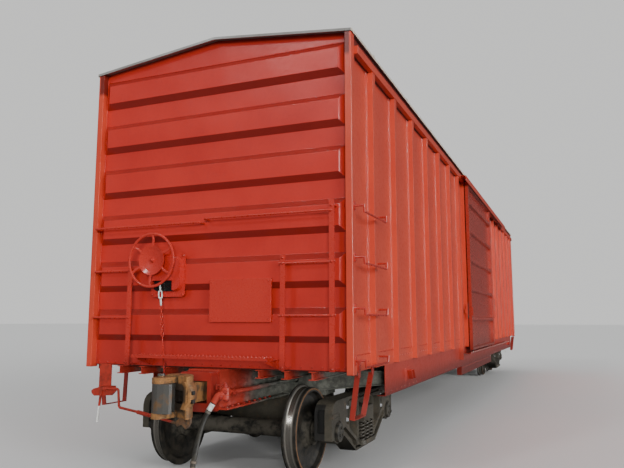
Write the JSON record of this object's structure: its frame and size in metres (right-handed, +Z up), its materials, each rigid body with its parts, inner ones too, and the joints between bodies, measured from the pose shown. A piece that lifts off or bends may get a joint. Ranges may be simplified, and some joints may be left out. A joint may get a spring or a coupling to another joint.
{
  "type": "railroad boxcar",
  "caption": "Outside-post railroad boxcar with corrugated ends, sliding side doors, swiveling trucks, rolling wheelsets and swinging couplers.",
  "frame": {"origin": "centre of the car's footprint, on the plane of the wheel flanges", "axes": "+X points to the hand-brake end, +Y to the side whose door slides toward -X, +Z up"},
  "size_m": [17.1196, 3.266, 4.434],
  "materials": {
    "red_paint": "fresh glossy vermilion body paint",
    "red_door": "glossy vermilion paint on the doors",
    "bare_roof": "unpainted zinc-coated sheet, dulled by weather",
    "deck_wood": "worn hardwood planks",
    "under_grey": "dusty dark underframe paint",
    "truck_steel": "dark cast steel under brown-grey dust",
    "wheel_steel": "dark wheel with rust at the rim and a worn bright tread",
    "spring_steel": "dusty spring steel",
    "coupler_rust": "rusty cast steel",
    "knuckle_grey": "dark grey cast steel polished by use",
    "hose_rubber": "matt black ribbed rubber",
    "fitting_iron": "grey iron pipe fittings",
    "chain_steel": "chain, its upper links white and the rest red"
  },
  "bodies": {
    "car": {"center_sill": "red_paint", "strikers": "red_paint", "body_bolsters": "under_grey", "crossbearers": "under_grey", "floor_stringers": "under_grey", "floor_deck": "deck_wood", "side_right": "red_paint", "side_left": "red_paint", "top_chords": "red_paint", "side_sills": "red_paint", "door_frames": "red_paint", "door_tracks": "red_paint", "corner_posts": "red_paint", "end_b": "red_paint", "end_a": "red_paint", "roof": "bare_roof", "end_ladders": "red_paint", "side_handholds": "red_paint", "sill_steps": "red_paint", "brake_wheel": "red_paint", "brake_gear_case": "red_paint", "brake_chain": "chain_steel", "brake_step": "red_paint", "placard_boards": "red_paint", "uncoupling_levers": "red_paint", "train_line": "fitting_iron", "air_hose_b": "hose_rubber", "air_hose_a": "hose_rubber", "hose_coupling_b": "fitting_iron", "hose_coupling_a": "fitting_iron", "brake_cylinder": "under_grey", "air_reservoir": "under_grey", "control_valve": "under_grey", "brake_levers": "under_grey"},
    "truck_b": {"side_frames_b": "truck_steel", "bearings_b": "truck_steel", "truck_bolster_b": "truck_steel", "springs_b": "spring_steel", "brake_beams_b": "truck_steel"},
    "truck_a": {"side_frames_a": "truck_steel", "bearings_a": "truck_steel", "truck_bolster_a": "truck_steel", "springs_a": "spring_steel", "brake_beams_a": "truck_steel"},
    "wheelset_1": {"wheelset_1": "wheel_steel"},
    "wheelset_2": {"wheelset_2": "wheel_steel"},
    "wheelset_3": {"wheelset_3": "wheel_steel"},
    "wheelset_4": {"wheelset_4": "wheel_steel"},
    "door_right": {"door_right": "red_door"},
    "door_left": {"door_left": "red_door"},
    "coupler_b": {"coupler_b": "coupler_rust", "knuckle_b": "knuckle_grey"},
    "coupler_a": {"coupler_a": "coupler_rust", "knuckle_a": "knuckle_grey"}
  },
  "joints": [
    {"name": "truck_b_swivel", "type": "hinge", "parent": "car", "child": "truck_b", "pos_m": [6.275, 0, 0.672], "axis": [0, 0, 1], "range_deg": [-8, 8]},
    {"name": "truck_a_swivel", "type": "hinge", "parent": "car", "child": "truck_a", "pos_m": [-6.275, 0, 0.672], "axis": [0, 0, 1], "range_deg": [-8, 8]},
    {"name": "wheelset_1_spin", "type": "hinge", "parent": "truck_b", "child": "wheelset_1", "pos_m": [7.1385, 0, 0.4445], "axis": [0, 1, 0], "continuous": true},
    {"name": "wheelset_2_spin", "type": "hinge", "parent": "truck_b", "child": "wheelset_2", "pos_m": [5.4115, 0, 0.4445], "axis": [0, 1, 0], "continuous": true},
    {"name": "wheelset_3_spin", "type": "hinge", "parent": "truck_a", "child": "wheelset_3", "pos_m": [-5.4115, 0, 0.4445], "axis": [0, 1, 0], "continuous": true},
    {"name": "wheelset_4_spin", "type": "hinge", "parent": "truck_a", "child": "wheelset_4", "pos_m": [-7.1385, 0, 0.4445], "axis": [0, 1, 0], "continuous": true},
    {"name": "door_right_slide", "type": "slide", "parent": "car", "child": "door_right", "axis": [-1, 0, 0], "range_m": [0, 3.06]},
    {"name": "door_left_slide", "type": "slide", "parent": "car", "child": "door_left", "axis": [1, 0, 0], "range_m": [0, 3.06]},
    {"name": "coupler_b_swing", "type": "hinge", "parent": "car", "child": "coupler_b", "pos_m": [7.7, 0, 0.876], "axis": [0, 0, 1], "range_deg": [-7, 7]},
    {"name": "coupler_a_swing", "type": "hinge", "parent": "car", "child": "coupler_a", "pos_m": [-7.7, 0, 0.876], "axis": [0, 0, 1], "range_deg": [-7, 7]}
  ]
}
